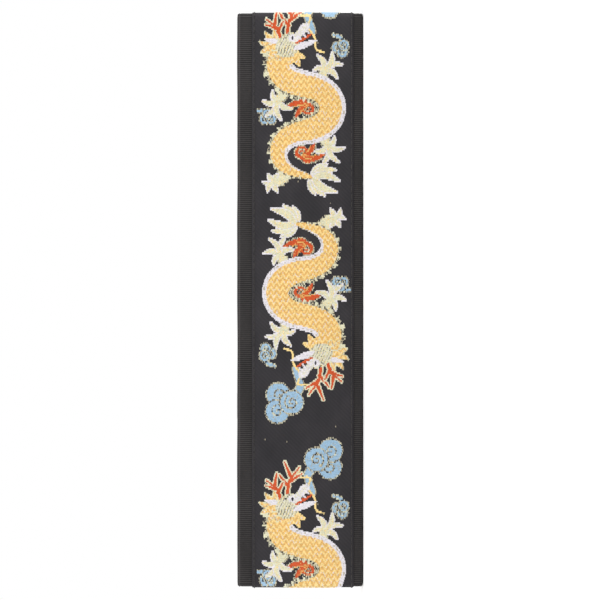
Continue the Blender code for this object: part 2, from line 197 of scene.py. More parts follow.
def tube(name, s, section, material):
    """A closed section carried along the route; section(s) gives w and t arrays of shape (len(s), K).

    The rims of both ends are sharp, so that the shading runs on from one piece to the next.
    """
    w, t = section(s)
    k = w.shape[1]
    grid = np.repeat(s[:, None], k, 1)
    verts = place(grid, w, t).reshape(-1, 3)
    i, j = np.meshgrid(np.arange(len(s) - 1), np.arange(k), indexing="ij")
    a, b = i * k + j, i * k + (j + 1) % k
    faces = np.stack([a, a + k, b + k, b], -1).reshape(-1, 4)
    ends = []
    for base in (0, (len(s) - 1) * k):
        cap = [(base + n, base + n + 1, base + k - 2 - n, base + k - 1 - n) for n in range(k // 2 - 1)]
        ends += cap if base else [face[::-1] for face in cap]
    faces = np.vstack([faces, np.array(ends)])
    coords = np.stack([grid, w, t], -1).reshape(-1, 3)
    obj = make(name, verts, faces, material, coords)
    on_rim = np.zeros(len(verts), bool)
    on_rim[:k] = on_rim[-k:] = True
    pairs = np.empty(2 * len(obj.data.edges), np.int32)
    obj.data.edges.foreach_get("vertices", pairs)
    obj.data.edges.foreach_set("use_edge_sharp", on_rim[pairs].reshape(-1, 2).all(1))
    return obj


RIB = 0.8               # pitch of the webbing's cross ribs
SELVAGE_HIGHLIGHT_W = 23.95    # where a paler line is painted along the top selvage as a highlight
SWELL = 0.28            # how much the webbing's bare borders swell beside the sewn ribbon
WEB_SECTION = np.array([   # w, t, how much of the ribs shows there, and how much of the swelling
    (-25.0, -0.10, 0.3, 0.2), (-24.85, 0.45, 0.4, 0.7), (-24.3, 0.74, 0.3, 1), (-23.8, 0.60, 0.6, 1),
    (-23.2, 0.66, 1.0, 1), (RIBBON_LOW, 0.66, 1.0, 1), (RIBBON_LOW + 0.6, 0.66, 0.3, 0),
    (RIBBON_HIGH - 0.6, 0.66, 0.3, 0), (RIBBON_HIGH, 0.66, 1.0, 1), (23.2, 0.66, 1.0, 1),
    (23.8, 0.60, 0.6, 1), (24.3, 0.74, 0.3, 1), (24.85, 0.45, 0.4, 0.7), (25.0, -0.10, 0.3, 0.2),
    (24.7, -0.55, 0.4, 0), (23.6, -0.66, 1.0, 0), (-23.6, -0.66, 1.0, 0), (-24.7, -0.55, 0.4, 0)])


def web_section(s, swell):
    """Ribbed webbing: every other rib stands a little higher, and the ribs wander slightly."""
    ribs = 0.5 + 0.5 * np.cos(2 * np.pi * s / RIB) + 0.28 * np.cos(np.pi * s / RIB)
    rng = np.random.default_rng(7)
    uneven = np.interp(s, np.arange(0, LENGTH + 4, 1.6), rng.uniform(-1, 1, int((LENGTH + 4) / 1.6) + 1))
    wander = 0.05 * np.sin(s / 13.0) + 0.03 * np.sin(s / 5.1 + 1)
    w = np.repeat(WEB_SECTION[None, :, 0], len(s), 0)
    w = w + np.sign(w) * (np.abs(w) > 23) * (wander[:, None] - 0.09)
    relief = (0.085 * ribs * (1 + 0.3 * uneven))[:, None] * WEB_SECTION[None, :, 2]
    t = WEB_SECTION[None, :, 1] + np.sign(WEB_SECTION[None, :, 1]) * relief + swell * WEB_SECTION[None, :, 3]
    return w, t


# ---------------------------------------------------------------- the weave draft
GROUND, GOLD, PALE, WHITE, CREAM, RED, BLUE, BEIGE = range(8)
REPEAT = 181.7          # two dragons, turned half round from each other
REPEAT_SHIFT = 15.6     # how far the repeat has run at the front's right end
ART_PICK = 0.5          # one step of the draft along the strap
ART_END = 0.26          # and across it
ART_MIDDLE = -1.6       # the figure's middle line across the webbing
ART_HALF = 18.6         # half the width of the draft
STRAY = 0.0006          # share of the plain ground where a yarn tip pokes through


def noise(l, b, seed=0):
    """Repeatable speckle in 0..1, one value for each cell of the draft."""
    n = np.sin(np.floor(l / ART_PICK) * 12.9898 + np.floor(b / ART_END) * 78.233 + seed * 37.719) * 43758.5453
    return n - np.floor(n)


def smooth_line(points, closed=False, steps=8):
    """Catmull-Rom curve through (b, l) points."""
    p = np.array(points, float)
    p = np.vstack([p[-1], p, p[:2]]) if closed else np.vstack([2 * p[0] - p[1], p, 2 * p[-1] - p[-2]])
    u = np.arange(steps)[:, None] / steps
    out = []
    for a, b, c, d in zip(p, p[1:], p[2:], p[3:]):
        out.append(0.5 * (2 * b + (c - a) * u + (2 * a - 5 * b + 4 * c - d) * u ** 2
                          + (3 * b - a - 3 * c + d) * u ** 3))
    curve = np.vstack(out)
    return curve if closed else np.vstack([curve, p[-2]])


class Canvas:
    """One dragon's draft: a colour for each crossing, painted back to front."""

    def __init__(self, b, l):
        self.b, self.l = b, l
        self.ink = np.full(b.shape, -1)

    def window(self, pts, margin):
        """The cells in a box round some points."""
        lo, hi = pts.min(0) - margin, pts.max(0) + margin
        on = (self.b > lo[0]) & (self.b < hi[0]) & (self.l > lo[1]) & (self.l < hi[1])
        return on, self.b[on], self.l[on]

    def near(self, line, margin):
        """Distance to a line, which side of it, and how far along it, for the cells nearby.

        The side is positive on the line's left when b points right and l points down.
        """
        on, b, l = self.window(line, margin)
        best = np.full(b.shape, 1e9)
        side, along = np.zeros(b.shape), np.zeros(b.shape)
        run = 0.0
        for p, q in zip(line, line[1:]):
            d = q - p
            size = max(float(np.hypot(*d)), 1e-9)
            u = np.clip(((b - p[0]) * d[0] + (l - p[1]) * d[1]) / size ** 2, 0, 1)
            x, y = b - p[0] - u * d[0], l - p[1] - u * d[1]
            dist = np.hypot(x, y)
            closer = dist < best
            best = np.where(closer, dist, best)
            side = np.where(closer, d[1] * x - d[0] * y, side)
            along = np.where(closer, run + u * size, along)
            run += size
        return on, best, side, along, run

    def put(self, on, mask, ink):
        """Paint one ink, an array of inks, or a function of b and l."""
        if callable(ink):
            ink = ink(self.b[on], self.l[on])
        cells = np.flatnonzero(on)[mask]
        self.ink.flat[cells] = ink[mask] if isinstance(ink, np.ndarray) else ink

    def fill(self, points, ink):
        """Fill the smooth closed curve through some points."""
        line = smooth_line(points, closed=True)
        on, b, l = self.window(line, 0.6)
        odd = np.zeros(b.shape, bool)
        for p, q in zip(line, np.roll(line, -1, 0)):
            cross = (p[1] > l) != (q[1] > l)
            with np.errstate(divide="ignore", invalid="ignore"):
                at = p[0] + (l - p[1]) * (q[0] - p[0]) / (q[1] - p[1])
            odd ^= cross & (b < at)
        self.put(on, odd, ink)

    def stroke(self, points, width, ink, rim=None, rim_width=0.45, taper=(1.0, 0.35)):
        """A brush line; its half width runs from taper[0] to taper[1] of width."""
        line = smooth_line(points)
        on, dist, _, along, run = self.near(line, width + rim_width + 0.5)
        u = along / run
        half = width * (taper[0] + (taper[1] - taper[0]) * u)
        if rim is not None:
            self.put(on, dist < half + rim_width, rim)
        self.put(on, dist < half, ink)

    def leaf(self, root, tip, width, ink, rim=None, bow=0.0):
        """A pointed leaf, finger or flame lick from root to tip."""
        p, q = np.array(root, float), np.array(tip, float)
        d = q - p
        normal = np.array([-d[1], d[0]])
        line = smooth_line([p, (p + q) / 2 + normal * bow, q])
        on, dist, _, along, run = self.near(line, width + 0.8)
        u = along / run
        half = width * np.sin(np.pi * np.clip(u, 0.02, 1) ** 0.8) ** 0.8 + 0.12
        if rim is not None:
            self.put(on, dist < half + 0.4, rim)
        self.put(on, dist < half, ink)


def scales(b, l):
    """Gold chevrons on pale yellow, with white specks painted in as glints of light."""
    peak = np.abs((b / 2.38) % 1.0 * 2 - 1)
    row = (l / 2.5 + 0.8 * peak) % 1.0
    ink = np.where(row < 0.46, GOLD, PALE)
    # painted highlight: white specks in the pale band of each chevron row
    return np.where((row > 0.80) & (noise(l, b, 3) < 0.25), WHITE, ink)


def flecks(b, l):
    """Beige and cream specks on the ground, for fringes and outlines."""
    n = noise(l, b, 1)
    return np.select([n < 0.36, n < 0.62], [BEIGE, CREAM], GROUND)


def beads(b, l):
    """A rim of cream and beige stitches."""
    return np.where(noise(l / 2, b / 2, 5) < 0.72, CREAM, BEIGE)


def fur(b, l):
    """Cream hair with slanting dark streaks."""
    streak = ((b + 0.42 * l) / 1.15 + 0.12 * np.sin(l * 1.3)) % 1.0
    n = noise(l, b, 2)
    ink = np.where(streak > 0.7, np.select([n < 0.5, n < 0.72], [BEIGE, GROUND], CREAM), CREAM)
    ink = np.where((streak < 0.18) & (n < 0.55), WHITE, ink)
    return np.where((streak > 0.35) & (streak < 0.55) & (n < 0.3), PALE, ink)


def hide(b, l):
    """Cream skin of the limbs, with faint woven lines."""
    line = (l - 0.5 * b) % 1.0
    return np.where((line < 0.3) & (noise(l, b, 6) < 0.45), PALE, CREAM)


def ember(b, l):
    """Red with a few gold glints."""
    return np.where(noise(l, b, 9) < 0.06, GOLD, RED)


def mist(b, l):
    """Blue with a few beige specks."""
    return np.where(noise(l, b, 8) < 0.035, BEIGE, BLUE)


# The figure is a plain serpent dragon of this script's own: a river meander with fans and scrolls on it.
MOTIF = REPEAT / 2      # length of strap that one dragon takes
NECK = 0.34 * MOTIF     # where its neck starts
WAVE = 60.0             # body length of one full swing from side to side
SWING = math.radians(78)    # how far the body turns off the strap's line
PHASE = math.radians(-40)   # where in the swing the neck is
BODY = 85.0             # body length from neck to tail
REACH = 11.4            # how far from the middle line a paw may be, so its claws stay on the ribbon
THICK = 4.4             # half the body's width at its thickest
LEGS = ((0.15, -1, -14, 9), (0.27, 1, 132, 9),      # part of the body, side, facing and length
        (0.50, 1, 8, 9), (0.88, -1, -62, 6))


def turn(angle):
    """Unit (b, l) step at an angle in degrees: 0 runs down the strap, 90 across it."""
    return np.array([math.sin(math.radians(angle)), math.cos(math.radians(angle))])


def meander():
    """The body's middle line, whose heading swings as a sine of its length."""
    s = np.arange(0.0, BODY, 0.5)
    heading = SWING * np.sin(2 * np.pi * s / WAVE + PHASE)
    line = np.cumsum(np.stack([np.sin(heading), np.cos(heading)], 1) * 0.5, 0)
    middle = (line[:, 0].max() + line[:, 0].min()) / 2
    return line - (middle, -NECK), np.degrees(heading)


SPINE, HEADING = meander()


def beside(part, out=0.0):
    """Point a fraction of the way down the body and `out` to its belly side, with the heading there."""
    i = min(int(part * len(SPINE)), len(SPINE) - 1)
    return SPINE[i] + out * turn(HEADING[i] + 90), HEADING[i]


def scroll(centre, radius, turns, start):
    """An Archimedean spiral from its rim to its middle."""
    return [np.array(centre) + radius * (1 - 0.85 * u) * turn(start + 360 * turns * u)
            for u in np.linspace(0, 1, round(9 * turns))]


def ring(centre, radius):
    """A circle as a closed outline."""
    return [(centre[0] + radius * math.cos(a), centre[1] + radius * math.sin(a))
            for a in np.linspace(0, 2 * math.pi, 12, endpoint=False)]


def fan(c, root, facing, spread, lengths, width, ink, rim=None, bow=0.0):
    """Leaves spread evenly about a direction: claws, mane and tail tuft, edges first."""
    angles = np.linspace(-spread / 2, spread / 2, len(lengths))
    for angle, length in sorted(zip(angles, lengths), key=lambda pair: -abs(pair[0])):
        c.leaf(root, np.array(root) + length * turn(facing + angle), width, ink, rim, bow * np.sign(angle))


def body(c):
    """Gold body with a pale belly on one side and a ragged crest on the other."""
    on, dist, side, along, run = c.near(SPINE[::3], 7.0)
    b, l = c.b[on], c.l[on]
    u = along / run
    half = THICK * np.interp(u, [0, 0.1, 0.55, 0.8, 1], [0.85, 1, 1, 0.62, 0.16])
    belly = 1.75 * np.interp(u, [0, 0.06, 0.75, 1], [0.3, 1, 0.9, 0.1])
    spike = (along / 2.3) % 1.0
    crest = (0.6 + 1.5 * spike) * np.interp(u, [0, 0.05, 0.75, 1], [0.3, 1, 0.9, 0.2])
    back = (side < 0) & (dist < half + crest)
    c.put(on, back, np.where(spike > 0.7, CREAM, flecks(b, l)))
    dots = ((along % 1.2) < 0.45) & (np.abs(dist - half - belly * 0.55) < 0.22)
    c.put(on, (side > 0) & (dist < half + belly), np.where(dots, BEIGE, WHITE))
    c.put(on, dist < half, scales(b, l))


def leg(c, part, side, facing, length):
    """A thigh and shin leaving one side of the body, ending in a fan of white-edged claws."""
    hip, _ = beside(part, side * THICK * 0.4)
    knee = hip + length * 0.55 * turn(facing - 28 * side)
    paw = knee + length * 0.45 * turn(facing + 20 * side)
    paw[0] = np.clip(paw[0], -REACH, REACH)
    c.stroke([hip, knee, paw], 1.9, hide, rim=flecks, rim_width=0.6, taper=(1.45, 0.7))
    fan(c, paw, facing, 150, [length * k for k in (0.66, 0.82, 0.86, 0.72)], 0.78, hide, WHITE, 0.16)
    c.leaf(paw, paw + length * 0.5 * turn(facing + 140 * side), 0.6, hide, WHITE, 0.2 * side)
    c.fill(ring(paw, 1.6), hide)


def flame(c, root, facing, size):
    """Red licks that trail off the same way from a curled middle, edged in cream specks."""
    licks = [(-38, 1.15), (34, 1.3), (-4, 1.9)]
    for grow, ink, rim in ((0.5, flecks, flecks), (0.0, ember, None)):
        for angle, reach in licks:
            c.leaf(root, root + (size * reach + grow) * turn(facing + angle), size * 0.2, ink, rim, bow=0.22)
        c.fill(ring(root, size * 0.5 + grow), ink)
    for angle, reach in licks:
        c.leaf(root, root + size * reach * 0.7 * turn(facing + angle), 0.12, GOLD, bow=0.22)
    c.stroke(scroll(root, size * 0.3, 1.2, facing), 0.3, flecks, taper=(1, 1))


def cloud(c, centre, size, facing):
    """Three blue scrolls in a clump with a streaming tail."""
    puffs = [np.array(centre) + size * 0.62 * turn(facing + a) for a in (-125, 0, 125)]
    tail = [centre, centre + 1.5 * size * turn(facing + 160), centre + 2.4 * size * turn(facing + 190)]
    c.stroke(tail, size * 0.3, mist, rim=flecks, taper=(1.2, 0.4))
    for n, puff in enumerate(puffs):
        c.fill(ring(puff, size * 0.74 + 0.6), flecks)
        c.fill(ring(puff, size * 0.74), mist)
        c.stroke(scroll(puff, size * 0.5, 1.4, facing + 120 * n), 0.3, flecks, taper=(1, 1))


def antler(c, root, facing, length, hand):
    """A branching red antler with a cream rim."""
    trunk = [root, root + 0.5 * length * turn(facing), root + length * turn(facing + 14 * hand)]
    twigs = [[root + k * length * turn(facing), root + k * length * turn(facing)
              + 0.45 * length * turn(facing + a * hand)] for k, a in ((0.35, -48), (0.5, 50), (0.68, -30))]
    for line in [trunk, *twigs]:
        c.stroke(line, 0.85, CREAM, taper=(1.4, 0.9))
    for line in [trunk, *twigs]:
        c.stroke(line, 0.5, RED, taper=(1.4, 0.5))


def head(c):
    """A long muzzle, open jaw, antlers, mane and whiskers.

    Places are given as millimetres forward of the neck and up towards the crown.
    """
    neck, heading = beside(0.0)
    ahead, up = -turn(heading), -turn(heading + 90)
    at = lambda forward, crown: neck + forward * ahead + crown * up
    facing = heading + 180
    crownward = heading - 90
    for reach, rise in ((1.0, 0.8), (0.75, -1.0)):
        whisker = [(12.5, 1), (15 * reach + 1, 4 * rise), (13 * reach, 8 * rise), (15 * reach, 11 * rise)]
        c.stroke([at(f, g) for f, g in whisker], 0.45, PALE, taper=(1, 0.8))
    fan(c, at(0.5, 1), crownward + 52, 130, [8, 9, 9.5, 9, 8, 6], 1.2, scales, rim=beads, bow=0.1)
    fan(c, at(2, -3), crownward + 165, 80, [5, 6, 5], 0.9, scales, rim=PALE, bow=0.1)
    antler(c, at(4.0, 3), crownward - 48, 13.0, -1)
    antler(c, at(1.5, 3.5), crownward - 18, 10.0, 1)
    c.leaf(at(0.5, 3), at(-3.5, 8), 0.9, WHITE)
    c.fill([at(f, g) for f, g in ((-2, 3), (2, 4.4), (6, 3.6), (8, 0), (5, -3.6), (0, -4), (-3, -1))], fur)
    c.leaf(at(3, -2.4), at(12.5, -5.6), 1.15, WHITE)
    c.leaf(at(5, -1.2), at(12.5, -2.4), 0.5, RED)
    c.fill([at(f, g) for f, g in ((4, 3), (8, 2.1), (11.5, 3.1), (13.8, 2), (13, 0), (9, -0.4), (5, -0.8))],
           lambda b, l: np.where(noise(l, b, 7) < 0.2, CREAM, WHITE))
    for forward in (7.5, 9.5, 11.5):
        c.leaf(at(forward, -0.2), at(forward + 0.2, -1.7), 0.3, WHITE)
    c.fill(ring(at(5.2, 1.4), 1.15), WHITE)
    c.fill(ring(at(5.4, 1.3), 0.55), GROUND)
    c.stroke([at(3.2, 3.0), at(5.2, 3.3), at(7.2, 2.2)], 0.35, flecks)


def dragon(c):
    """One dragon, its head towards l = 0."""
    tail, heading = beside(1.0)
    fan(c, tail, heading - 4, 118, [7, 9, 11.5, 11, 10, 8], 1.2, hide, rim=WHITE, bow=-0.12)
    cloud(c, np.array([8.6, 0.12 * MOTIF]), 6.0, 150)
    cloud(c, np.array([-14.2, 0.64 * MOTIF]), 2.4, 60)
    cloud(c, np.array([14.6, 0.34 * MOTIF]), 2.6, 20)
    for part, out, facing, size in ((0.43, -8.8, -90, 4.7), (0.80, 9.4, 90, 5.0)):
        flame(c, beside(part, out)[0], facing, size)
    for part, side, facing, length in LEGS:
        leg(c, part, side, facing, length)
    body(c)
    head(c)


def draft():
    """Where the columns lie across the strap, and the repeat as inks in rows along it."""
    l = (np.arange(round(REPEAT / ART_PICK)) + 0.5) * REPEAT / round(REPEAT / ART_PICK)
    b = np.arange(-ART_HALF, ART_HALF, ART_END) + ART_END / 2
    ll, bb = np.meshgrid(l, b, indexing="ij")
    wrap = lambda v: (v + MOTIF / 2) % REPEAT - MOTIF / 2
    first, second = Canvas(bb, wrap(ll)), Canvas(-bb, wrap(REPEAT - ll))
    for canvas in (first, second):
        dragon(canvas)
    figure = np.where(first.ink >= 0, first.ink, np.maximum(second.ink, 0))
    return b, np.where((figure == GROUND) & (noise(ll, bb, 11) < STRAY), BEIGE, figure)


# ---------------------------------------------------------------- floats of yarn
PICK = 0.3              # pitch of the picks on the ribbon
FLOAT = 0.13            # how far a float stands above the ground weave
BASE = FACE - 0.20      # top of the ground weave


def floats(name, start, end, columns, inks, ride):
    """Raised floats for one length of ribbon, one object per yarn colour."""
    rows = np.arange(math.ceil(start / PICK - 0.5), math.ceil(end / PICK - 0.5))
    s = (rows + 0.5) * PICK
    l = REPEAT_SHIFT + 2 * FRONT_HALF - (s - FRONT_START)
    art = inks[np.floor((l % REPEAT) / REPEAT * len(inks)).astype(int)]
    made = []
    for ink, (label, material) in YARNS.items():
        on = np.pad(art == ink, ((0, 0), (1, 1))).astype(np.int8)
        step = np.diff(on, axis=1)
        r0, c0 = np.nonzero(step == 1)
        _, c1 = np.nonzero(step == -1)
        if not len(r0):
            continue
        w0 = ART_MIDDLE - (columns[0] - ART_END / 2 + c1 * ART_END)
        w1 = ART_MIDDLE - (columns[0] - ART_END / 2 + c0 * ART_END)
        mid = s[r0]
        low, high = np.full_like(mid, BASE), np.full_like(mid, BASE + FLOAT)
        tip = np.minimum(0.12, (w1 - w0) * 0.3)
        half = PICK * 0.485       # neighbouring picks never quite touch
        points = [(mid - half, w0, low), (mid + half, w0, low), (mid + half, w1, low),
                  (mid - half, w1, low), (mid, w0 + tip, high), (mid, w1 - tip, high)]
        verts = np.stack([place(a, w, t) for a, w, t in points], 1).reshape(-1, 3)
        coords = np.stack([np.stack([a, w, t], -1) for a, w, t in points], 1).reshape(-1, 3)
        base = np.arange(len(mid))[:, None] * 6
        faces = np.vstack([base + np.array(f) for f in ([0, 3, 5], [0, 5, 4], [1, 4, 5], [1, 5, 2],
                                                        [0, 4, 1], [3, 2, 5], [0, 1, 2], [0, 2, 3])])
        obj = make(f"{name}_{label}_yarn", verts, faces, material, coords, smooth=False)
        settle(obj, ride)
        made.append(obj)
    return made


# ---------------------------------------------------------------- materials
class Look:
    """A Principled material under construction, with short calls for the nodes used here."""

    def __init__(self, name, roughness, metallic=0.0, strap=False, specular=0.5):
        self.material = bpy.data.materials.new(name)
        self.material.use_nodes = True
        self.tree = self.material.node_tree
        self.shader = self.tree.nodes["Principled BSDF"]
        self.shader.inputs["Roughness"].default_value = roughness
        self.shader.inputs["Metallic"].default_value = metallic
        self.shader.inputs["Specular IOR Level"].default_value = specular
        if strap:
            self.where = self.node("ShaderNodeAttribute", attribute_name="lay").outputs["Vector"]
        else:
            scale = self.node("ShaderNodeVectorMath", operation="SCALE")
            self.link(self.node("ShaderNodeTexCoord").outputs["Object"], scale.inputs[0])
            scale.inputs["Scale"].default_value = 1000.0
            self.where = scale.outputs[0]

    def node(self, kind, **settings):
        made = self.tree.nodes.new(kind)
        for key, value in settings.items():
            setattr(made, key, value)
        return made

    def link(self, out, into):
        self.tree.links.new(out, into)

    def noise(self, stretch=(1, 1, 1), scale=1.0, detail=3.0):
        """Noise whose grain is `scale` per millimetre, stretched along the axes."""
        size = self.node("ShaderNodeVectorMath", operation="MULTIPLY")
        self.link(self.where, size.inputs[0])
        size.inputs[1].default_value = stretch
        made = self.node("ShaderNodeTexNoise")
        self.link(size.outputs[0], made.inputs["Vector"])
        made.inputs["Scale"].default_value = scale
        made.inputs["Detail"].default_value = detail
        return made.outputs["Fac"]

    def wave(self, along):
        """A sine from 0 to 1 with `along` turns per millimetre in each direction."""
        dot = self.node("ShaderNodeVectorMath", operation="DOT_PRODUCT")
        self.link(self.where, dot.inputs[0])
        dot.inputs[1].default_value = [2 * math.pi * k for k in along]
        sine = self.math("SINE", dot.outputs["Value"])
        return self.math("MULTIPLY_ADD", sine, 0.5, 0.5)

    def math(self, operation, *values):
        made = self.node("ShaderNodeMath", operation=operation)
        for socket, value in zip(made.inputs, values):
            if isinstance(value, (int, float)):
                socket.default_value = value
            else:
                self.link(value, socket)
        return made.outputs[0]

    def colour(self, factor, *stops):
        """Base colour from a ramp of (place, colour) stops."""
        ramp = self.node("ShaderNodeValToRGB").color_ramp
        while len(ramp.elements) < len(stops):
            ramp.elements.new(0.5)
        for element, (at, tone) in zip(ramp.elements, stops):
            element.position = at
            element.color = (*tone, 1)
        owner = self.tree.nodes[-1]
        self.link(factor, owner.inputs["Fac"])
        self.link(owner.outputs["Color"], self.shader.inputs["Base Color"])

    def roughness(self, factor, low, high):
        made = self.node("ShaderNodeMapRange")
        made.inputs["To Min"].default_value = low
        made.inputs["To Max"].default_value = high
        self.link(factor, made.inputs["Value"])
        self.link(made.outputs["Result"], self.shader.inputs["Roughness"])

    def bump(self, height, depth, strength=1.0):
        """Relief `depth` millimetres deep."""
        made = self.node("ShaderNodeBump")
        made.inputs["Distance"].default_value = depth * MM
        made.inputs["Strength"].default_value = strength
        self.link(height, made.inputs["Height"])
        self.link(made.outputs["Normal"], self.shader.inputs["Normal"])


STUDIO = 1.22            # how much more light the cloth gets here than a swatch card


def linear(red, green, blue):
    """Scene-linear colour from the 0 to 255 display values of a swatch."""
    return tuple((v / 12.92 if v <= 0.04045 else ((v + 0.055) / 1.055) ** 2.4) / STUDIO
                 for v in (red / 255, green / 255, blue / 255))


def webbing_look():
    """Ribbed black polypropylene: painted shade darker in the hollows between ribs and paler on the rib tops,
    fine filaments, and a painted highlight line along the top selvage.
    """
    look = Look("black_webbing", 0.72, strap=True, specular=0.12)
    # painted shade: the colour is darker in the hollows between ribs and paler on the rib tops
    ribs = look.wave((1 / RIB, 0, 0))
    filaments = look.noise((7, 0.6, 1), 1.0, 4)
    mottle = look.noise((0.05, 0.12, 0), 1.0, 2)
    mixed = look.math("MULTIPLY_ADD", ribs, 0.40, look.math("MULTIPLY_ADD", filaments, 0.35,
                                                           look.math("MULTIPLY", mottle, 0.25)))
    split = look.node("ShaderNodeSeparateXYZ")
    look.link(look.where, split.inputs[0])
    # painted highlight: a paler line along the top selvage, where light from above catches the edge
    selvage_highlight = look.math("COMPARE", split.outputs["Y"], SELVAGE_HIGHLIGHT_W, 0.3)
    mixed = look.math("MULTIPLY_ADD", selvage_highlight, 0.3, mixed)
    look.colour(mixed, (0.2, linear(22, 21, 21)), (0.5, linear(48, 46, 46)), (0.85, linear(75, 72, 72)))
    look.roughness(filaments, 0.6, 0.85)
    look.bump(look.math("ADD", filaments, look.wave((2 / RIB, 2.2, 0))), 0.05, 0.7)
    return look.material


def ground_look():
    """Charcoal satin-twill ground with fine slanting lines."""
    look = Look("ribbon_ground", 0.55, strap=True, specular=0.12)
    twill = look.wave((0.60, -0.60, 0))
    threads = look.math("MULTIPLY", look.wave((4.0, 0, 0)), look.wave((0, 3.6, 0)))
    mottle = look.noise((0.06, 0.1, 0), 1.0, 3)
    mixed = look.math("MULTIPLY_ADD", twill, 0.10, look.math("MULTIPLY_ADD", threads, 0.3,
                                                            look.math("MULTIPLY", mottle, 0.6)))
    look.colour(mixed, (0.15, linear(38, 37, 40)), (0.5, linear(52, 50, 53)), (0.9, linear(72, 67, 71)))
    look.roughness(threads, 0.5, 0.7)
    look.bump(threads, 0.04, 0.8)
    return look.material


def yarn_look(name, tone):
    """Lustrous rayon: fine filaments along each float, and a little unevenness from pick to pick."""
    look = Look(f"{name}_yarn", 0.5, strap=True, specular=0.3)
    filament = look.noise((9, 0.8, 1), 1.0, 2)
    uneven = look.noise((3.2, 1.6, 1), 1.0, 2)
    tones = [tuple(k * c for c in linear(*tone)) for k in (0.58, 1.0, 1.2)]
    look.colour(look.math("MULTIPLY_ADD", filament, 0.45, look.math("MULTIPLY", uneven, 0.55)),
                (0.28, tones[0]), (0.5, tones[1]), (0.78, tones[2]))
    look.roughness(filament, 0.42, 0.6)
    look.bump(filament, 0.02, 0.5)
    return look.material


def thread_look():
    """Black bonded thread with its twist showing."""
    look = Look("black_thread", 0.6, specular=0.3)
    twist = look.wave((1.6, 1.6, 1.6))
    fuzz = look.noise((1, 1, 1), 5.0, 2)
    look.colour(look.math("MULTIPLY_ADD", twist, 0.5, look.math("MULTIPLY", fuzz, 0.5)),
                (0.2, linear(26, 25, 25)), (0.8, linear(74, 71, 70)))
    look.bump(twist, 0.05, 0.8)
    return look.material


def leather_look():
    """Black full-grain leather: pebbled grain over soft creases, with paler patches."""
    look = Look("black_leather", 0.5, specular=0.35)
    cells = look.node("ShaderNodeTexVoronoi", feature="DISTANCE_TO_EDGE")
    look.link(look.where, cells.inputs["Vector"])
    cells.inputs["Scale"].default_value = 0.8
    pebble = look.math("MINIMUM", look.math("MULTIPLY", cells.outputs["Distance"], 4.0), 1.0)
    creases = look.noise((1, 1, 1), 0.16, 5)
    look.colour(look.math("MULTIPLY_ADD", pebble, 0.35, look.math("MULTIPLY", creases, 0.65)),
                (0.2, linear(10, 9, 9)), (0.55, linear(32, 29, 27)), (0.85, linear(64, 57, 52)))
    look.roughness(creases, 0.34, 0.62)
    look.bump(look.math("ADD", pebble, look.math("MULTIPLY", creases, 1.5)), 0.3, 1.0)
    return look.material


def steel_look():
    """Nickel plate with brushing lines and a few dull patches."""
    look = Look("nickel_steel", 0.25, metallic=1.0)
    brushing = look.noise((0.4, 12, 12), 1.0, 3)
    patches = look.noise((1, 1, 1), 0.15, 3)
    look.colour(patches, (0.3, (0.42, 0.42, 0.42)), (0.7, (0.58, 0.57, 0.55)))
    look.roughness(look.math("MULTIPLY_ADD", brushing, 0.5, look.math("MULTIPLY", patches, 0.5)), 0.16, 0.42)
    look.bump(brushing, 0.01, 0.4)
    return look.material


WEBBING, GROUND_WEAVE, THREAD = webbing_look(), ground_look(), thread_look()
LEATHER_SKIN, STEEL = leather_look(), steel_look()
YARNS = {ink: (name, yarn_look(name, tone)) for ink, name, tone in (
    (GOLD, "gold", (236, 189, 110)), (PALE, "pale", (253, 226, 158)), (WHITE, "white", (236, 232, 238)),
    (CREAM, "cream", (232, 229, 200)), (RED, "red", (216, 92, 44)), (BLUE, "blue", (166, 199, 224)),
    (BEIGE, "beige", (190, 180, 154)))}


# ---------------------------------------------------------------- the strap
def stations(start, end, step):
    """Lengths from start to end, about a step apart."""
    return np.linspace(start, end, max(2, round((end - start) / step) + 1))


def webbing(name, start, end, ride, swell=SWELL):
    """One length of ribbed webbing."""
    piece = tube(f"{name}_ribbed_webbing", stations(start, end, RIB / 4),
                 lambda s: web_section(s, swell), WEBBING)
    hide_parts(f"{name}_webbing")
    settle(piece, ride)


def ground_section(s):
    """The ribbon's ground weave, with a narrow turned selvage at each side."""
    low = WEB / 2 + GAP
    corners = [(RIBBON_LOW, low), (RIBBON_LOW, BASE - 0.12), (RIBBON_LOW + 0.35, BASE + 0.05),
               (RIBBON_LOW + 0.9, BASE), (RIBBON_HIGH - 0.9, BASE), (RIBBON_HIGH - 0.35, BASE + 0.05),
               (RIBBON_HIGH, BASE - 0.12), (RIBBON_HIGH, low)]
    w, t = np.array(corners).T
    return np.tile(w, (len(s), 1)), np.tile(t, (len(s), 1))


STITCH_LIFT = 0.02      # height over the cloth from which a stitch arches


